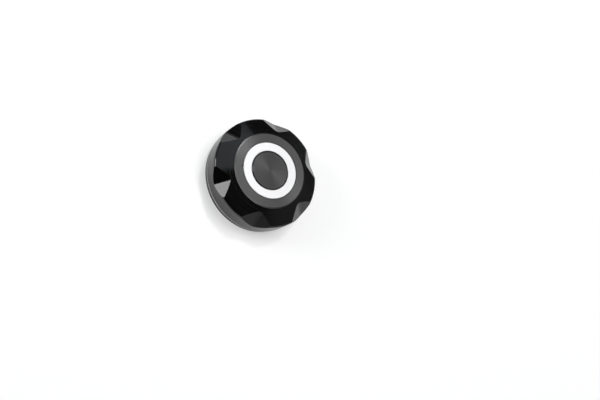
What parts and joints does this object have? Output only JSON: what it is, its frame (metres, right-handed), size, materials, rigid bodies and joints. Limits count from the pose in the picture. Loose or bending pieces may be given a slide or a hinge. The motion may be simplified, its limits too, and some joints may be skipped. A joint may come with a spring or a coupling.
{
  "type": "brake fluid reservoir cap",
  "caption": "Low round screw cap with a sloping notched grip shoulder, a bright ring let into its flat top, an inside thread and a folded rubber seal, for closing a brake fluid reservoir.",
  "frame": {"origin": "centre of the base ring, on the plane the cap stands on", "axes": "+Z along the cap axis from the base to the top face, +X through the middle of one finger notch"},
  "size_m": [0.0506, 0.0506, 0.0152],
  "materials": {
    "black_anodised": "black anodised, satin",
    "silver_anodised": "clear anodised, fine satin",
    "cord_rubber": "smooth moulded rubber",
    "slip_plastic": "natural nylon, matte",
    "seal_rubber": "matte moulded rubber"
  },
  "bodies": {
    "root": {"cap_body": "black_anodised", "accent_ring": "silver_anodised", "grip_ring": "cord_rubber", "slip_ring": "slip_plastic", "diaphragm_seal": "seal_rubber"}
  },
  "joints": []
}
